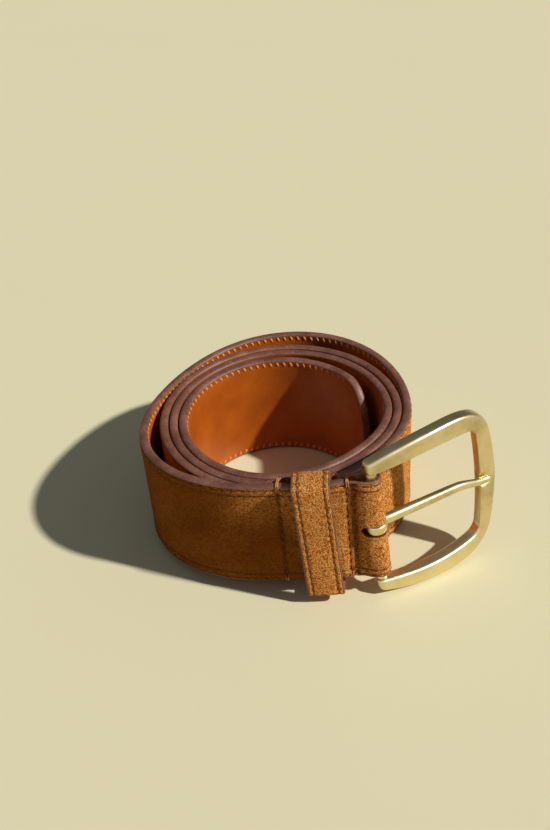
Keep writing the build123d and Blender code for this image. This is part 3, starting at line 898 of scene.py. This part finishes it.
def keeperPiece():
    insets = [0.3, 0.45, 0.6, 0.9, 1.3, 1.6, 1.75, 1.9, 2.05, 2.2, 2.5, 3.0, 3.8, 4.8]
    columns = [keeperHalf - e for e in insets] + [0.0] + [e - keeperHalf for e in insets[::-1]]
    grid, marks = [], []
    for height, e in zip(columns, insets + [keeperHalf] + insets[::-1]):
        depth, grooveAndPaintedShade = keeperSide(loopTravel, np.full_like(loopTravel, e))
        grid.append(put(loop, loopTravel, height, depth))
        marks.append(grooveAndPaintedShade)
    for height in columns[::-1]:
        grid.append(put(loop, loopTravel, height, loopThick))
        marks.append(np.zeros_like(loopTravel))
    grid.append(grid[0])
    marks.append(marks[0])
    rows, count = len(grid), len(loopTravel)
    faces = gridFaces(rows, count)
    faces.append([r * count for r in range(rows - 1)][::-1])  # both ends are closed, they meet behind
    faces.append([r * count + count - 1 for r in range(rows - 1)])
    marks = np.concatenate(marks)
    # the keeper's nap share is pale, as painted light
    return meshPiece("keeperLeather", np.concatenate(grid), faces, suede,
                     marks={"grooveAndPaintedShade": marks, "paintedLightNap": np.full_like(marks, napSharesWithPaintedLight["keeper"])})


# Crossed stitches close the loop behind
def keeperJoint():
    groups = []
    for k in range(-1, 2):
        for lean in (-0.5, 0.5):
            line = []
            for u in np.linspace(-1, 1, 9):
                depth = keeper["back"] + 0.18 * (1 - u * u) - 0.3 * u ** 4
                line.append(runPoint(keeper["at"] + 3.4 * k + lean * 1.6 * u, depth) + 2.2 * u * runUp)
            groups.append(([line], seams["radius"]))
    return threadPiece("keeperJoint", groups, backThread)


keeperLeather = keeperPiece()
keeperEdge = rimPiece("keeperEdges", [
    [put(loop, loopTravel, side * (keeperHalf - e * 0.75), d / coil["suede"] * loopThick)
     for e, d in thinRim] for side in (1, -1)])
keeperThread = threadPiece("keeperStitching", stitchRows(loop, 4, loopEnd - 4, keeperHalf,
                                                         stitching["keeper"]), faceThreadInPaintedShade)
keeperTie = keeperJoint()
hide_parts("keeper_loop")
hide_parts("keeper_joint_stitches")
for piece, slot in ((keeperLeather, "suede"), (keeperEdge, "painted_edge"), (keeperThread, "thread"),
                    (keeperTie, "thread")):
    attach(piece, "keeper")
print("keeper made")

# The bar keeps its CAD shape
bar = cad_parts["buckle_bar"]
bar.data.materials.clear()
bar.data.materials.append(brass)

# Buckle frame: measures run along from the bar, up its length, and forward of it
buckle = {
    "swing": 31.5,  # turned back from the line of the strap
    "thickness": 4.4,
    "corner": 1.05,  # rounding of the frame's section
    "nose": 2.0,  # rounding of the arm ends
    "noseStep": 6.2,  # from the first corner of the outline to the second
    "bow": 100.0,  # radius of the bend that brings the outer bar forward
    "bowCentre": 18.0,
    "setForward": 0.8,
    "notch": (41.6, 3.0, 0.9),  # hollow for the prong's end: where it ends, half width, depth
    # outlines, along and up, from an arm end to the middle of the outer bar
    "outer": [(-2.1, 26.2), (4.0, 27.9), (12.0, 29.35), (20.0, 29.95), (27.0, 29.85), (32.0, 29.0),
              (36.5, 27.0), (39.9, 23.6), (42.0, 18.9), (43.4, 11.5), (44.3, 4.5), (44.6, 0.0)],
    "inner": [(-2.1, 22.0), (4.0, 22.45), (12.0, 23.1), (20.0, 23.3), (26.2, 23.0), (31.0, 22.5),
              (34.6, 21.6), (36.2, 19.6), (36.7, 16.4), (37.2, 11.0), (37.55, 4.5), (37.6, 0.0)],
}
swing = math.radians(buckle["swing"])
buckleOut = runAlong * math.cos(swing) + np.cross(runUp, runAlong) * math.sin(swing)
buckleFront = np.cross(buckleOut, runUp)


def bowAt(along):
    base = math.sqrt(buckle["bow"] ** 2 - buckle["bowCentre"] ** 2)
    return buckle["setForward"] + np.sqrt(buckle["bow"] ** 2 - (along - buckle["bowCentre"]) ** 2) - base


# One outline, mirrored below the middle and run through smooth curves
def smoothOutline(points, fine):
    half = np.array(points)
    whole = np.concatenate([half, half[-2::-1] * (1, -1)])
    count = len(whole)
    result = []
    for t in fine:
        k = min(int(t), count - 2)
        u = t - k
        p0, p1, p2, p3 = (whole[min(max(k + j, 0), count - 1)] for j in (-1, 0, 1, 2))
        result.append(0.5 * (2 * p1 + (p2 - p0) * u + (2 * p0 - 5 * p1 + 4 * p2 - p3) * u ** 2
                             + (3 * p1 - p0 - 3 * p2 + p3) * u ** 3))
    return np.array(result)


# A piece of brass from rings of points, with flat ends or none
def ringsPiece(name, rings, ends=True):
    count = len(rings[0])
    faces = gridFaces(len(rings), count + 1)
    if ends:
        faces += [list(range(count))[::-1], [(len(rings) - 1) * (count + 1) + k for k in range(count)]]
    return meshPiece(name, np.concatenate([ring + [ring[0]] for ring in rings]), faces, brass)


# Section with rounded corners, and more points across the front for the notch
def frameSection(wide, thick):
    corner = min(buckle["corner"], thick, wide)
    section = []
    for sx, sy, first in ((1, 1, 0), (-1, 1, 90), (-1, -1, 180), (1, -1, 270)):
        for a in np.radians(np.linspace(first, first + 90, 7)):
            section.append((sx * (wide - corner) + corner * math.cos(a),
                            sy * (thick - corner) + corner * math.sin(a)))
        if first == 0:
            section += [(u, thick) for u in np.linspace(wide - corner, corner - wide, 12)[1:-1]]
    return section


# Rings lie closer at the arm ends and beside the notch
def framePiece():
    last = 2 * len(buckle["outer"]) - 2
    ends = np.array([0, 0.006, 0.02, 0.045, 0.08, 0.13, 0.19, 0.26])
    middle = last / 2 + np.linspace(-0.9, 0.9, 37)
    sides = np.linspace(0.34, last / 2 - 0.97, 68)
    fine = np.concatenate([ends, sides, middle, last - sides[::-1], last - ends[::-1]])
    outer, inner = smoothOutline(buckle["outer"], fine), smoothOutline(buckle["inner"], fine)
    notchEnd, notchHalf, notchDepth = buckle["notch"]
    rings = []
    for t, o, i in zip(fine, outer, inner):
        toEnd = max(1 - min(t, last - t) * buckle["noseStep"] / buckle["nose"], 0)
        size = math.sqrt(max(1 - toEnd ** 2, 0.0)) * 0.97 + 0.03
        centre, across = (o + i) / 2, o - i
        wide = np.linalg.norm(across) / 2 * (0.35 + 0.65 * size)
        across = across / np.linalg.norm(across)
        thick = buckle["thickness"] / 2 * size
        ring = []
        for u, v in frameSection(wide, thick):
            x, h = centre + across * u
            besideNotch = smoothStep((abs(h) - notchHalf + 0.8) / 1.6)
            pastNotch = smoothStep((x - notchEnd + 0.7) / 1.4)
            v = min(v, thick - notchDepth * ((1 - besideNotch) * (1 - pastNotch)))
            ring.append(barCentre + buckleOut * x + runUp * h + buckleFront * (bowAt(x) + v))
        rings.append(ring)
    return ringsPiece("buckleFrame", rings)


buckleFrame = framePiece()
crisp = bmesh.new()
crisp.from_mesh(buckleFrame.data)
for edge in crisp.edges:
    edge.smooth = edge.calc_face_angle(0) < math.radians(40)
crisp.to_mesh(buckleFrame.data)
crisp.free()
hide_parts("buckle_frame")
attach(buckleFrame, "buckle")
print("frame rounded", len(buckleFrame.data.polygons))

# Prong: a ring round the bar and a shank that bends up over the outer bar
prong = {
    "ringRadius": 2.78,  # middle of the ring's wall
    "ringWall": 0.75,  # half of its thickness
    "halfWidth": 1.65,
    "squareness": 2.5,  # 2 is oval, more is squarer
    # along, forward of the bar, half thickness, half width
    "shank": [(2.2, -0.8, 1.2, 1.65), (5.0, -0.6, 1.45, 1.68), (12.0, -0.3, 1.5, 1.68),
              (20.0, 0.1, 1.45, 1.62), (28.0, 0.5, 1.36, 1.55), (30.8, 0.75, 1.28, 1.5),
              (32.6, 1.3, 1.12, 1.4), (34.8, 2.2, 1.02, 1.3), (36.4, 2.75, 1.05, 1.28),
              (38.5, 2.95, 1.12, 1.28), (39.9, 2.93, 1.05, 1.18), (40.7, 2.88, 0.8, 0.9),
              (41.1, 2.85, 0.35, 0.4)],
}


def ovalRing(centre, thick, thickness, width):
    points, power = [], 2 / prong["squareness"]
    for k in range(24):
        a = 2 * math.pi * k / 24
        c, s = math.cos(a), math.sin(a)
        points.append(centre + thick * thickness * math.copysign(abs(c) ** power, c)
                      + runUp * width * math.copysign(abs(s) ** power, s))
    return points


def shankPiece():
    stations = np.array(prong["shank"])
    at = lengthsAlong(stations[:, :2])
    fine = np.concatenate([np.arange(0, at[-1] - 1.5, 0.7), np.linspace(at[-1] - 1.4, at[-1], 9)])
    stations = np.stack([np.interp(fine, at, stations[:, k]) for k in range(4)], 1)
    stations[:, :2] = soften(stations[:, :2], 3)
    ahead = unit(np.gradient(stations[:, :2], axis=0))
    rings = []
    for (x, y, thickness, width), (ax, ay) in zip(stations, ahead):
        centre = barCentre + buckleOut * x + buckleFront * y
        rings.append(ovalRing(centre, buckleFront * ax - buckleOut * ay, thickness, width))
    return ringsPiece("prong", rings)


def ringPiece():
    rings = []
    for a in np.linspace(0, 2 * math.pi, 61):
        out = buckleOut * math.cos(a) + buckleFront * math.sin(a)
        centre = barCentre + out * prong["ringRadius"]
        rings.append(ovalRing(centre, out, prong["ringWall"], prong["halfWidth"]))
    return ringsPiece("prongRing", rings, ends=False)


prongPiece, prongRing = shankPiece(), ringPiece()
joinWith(prongPiece, prongRing, "UNION")
settle(prongPiece)
bpy.data.objects.remove(prongRing)
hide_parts("prong")
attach(prongPiece, "prong")
print("prong bent", len(prongPiece.data.polygons))

# Table, light and camera
studio = {
    "table": (0.716, 0.659, 0.434),
    "tableSize": 4.0,
    "towardsLight": (0.708, -0.292, 0.643),
    "sunStrength": 4.15,
    "sunColour": (1.0, 0.985, 0.95),
    "sunAngle": 2.5,  # degrees, how soft the shadows are
    "sky": (0.92, 1.0, 1.1),
    "skyStrength": 0.15,
    "gleamFront": 0.85,  # what metal and polished leather see in front and overhead
    "gleamBack": 0.11,  # and towards the back of the room
    "gleamFrom": -0.5,  # fading between these, on the Y axis
    "gleamTo": 0.65,
    "backdrop": 0.68,  # what the camera sees past the table
}


def tableMaterial(name):
    material, tree, shader, where = newMaterial(name)
    clouds = noiseNode(tree, where, 9.0, 2.0)
    r, g, b = studio["table"]
    colour = rampNode(tree, clouds, [(0.3, (r * 0.985, g * 0.985, b * 0.98)), (0.7, (r, g, b))])
    setInputs(tree, shader, {"Base Color": colour, "Roughness": 0.75, "Specular IOR Level": 0.08})
    return material


bpy.ops.mesh.primitive_plane_add(size=studio["tableSize"], location=(0, 0, -0.0002))
table = bpy.context.object
table.name = "table"
table.data.materials.append(tableMaterial("tableTop"))

lamp = bpy.data.lights.new("sun", "SUN")
lamp.energy = studio["sunStrength"]
lamp.angle = math.radians(studio["sunAngle"])
lamp.color = studio["sunColour"]
sun = bpy.data.objects.new("sun", lamp)
sun.rotation_mode = "QUATERNION"
sun.rotation_quaternion = Vector(studio["towardsLight"]).to_track_quat("Z", "Y")
bpy.context.scene.collection.objects.link(sun)

# The sky is even for the light it gives, brighter in front for gleams, and plain for the camera
world = bpy.data.worlds.new("studioSky")
bpy.context.scene.world = world
world.use_nodes = True
sky = world.node_tree
background = sky.nodes["Background"]
towards = newNode(sky, "TexCoord", "Generated")
fade = newNode(sky, "MapRange", "Result", {
    "Value": newNode(sky, "SeparateXYZ", "Y", {"Vector": towards}),
    "From Min": studio["gleamFrom"], "From Max": studio["gleamTo"],
    "To Min": studio["gleamFront"], "To Max": studio["gleamBack"]}, interpolation_type="SMOOTHSTEP")
strength = studio["skyStrength"]
for kind, other in (("Is Glossy Ray", fade), ("Is Camera Ray", studio["backdrop"])):
    strength = newNode(sky, "Mix", 0, {0: newNode(sky, "LightPath", kind), 2: strength, 3: other})
setInputs(sky, background, {"Color": (*studio["sky"], 1), "Strength": strength})

view = {  # the camera, in metres
    "place": (-0.012168, -0.288664, 0.264770),
    "right": (0.99695, -0.04797, -0.06164),
    "up": (0.07811, 0.61229, 0.78677),
    "back": (0.0, -0.78918, 0.61416),
    "lens": 47.71,
}
lens = bpy.data.cameras.new("camera")
lens.lens, lens.sensor_width = view["lens"], 36.0
lens.clip_start, lens.clip_end = 0.01, 20.0
camera = bpy.data.objects.new("camera", lens)
axes = Matrix((view["right"], view["up"], view["back"])).transposed()
camera.matrix_world = Matrix.Translation(view["place"]) @ axes.to_4x4()
bpy.context.scene.collection.objects.link(camera)
bpy.context.scene.camera = camera
bpy.context.scene.view_settings.view_transform = "Standard"
print("studio set")
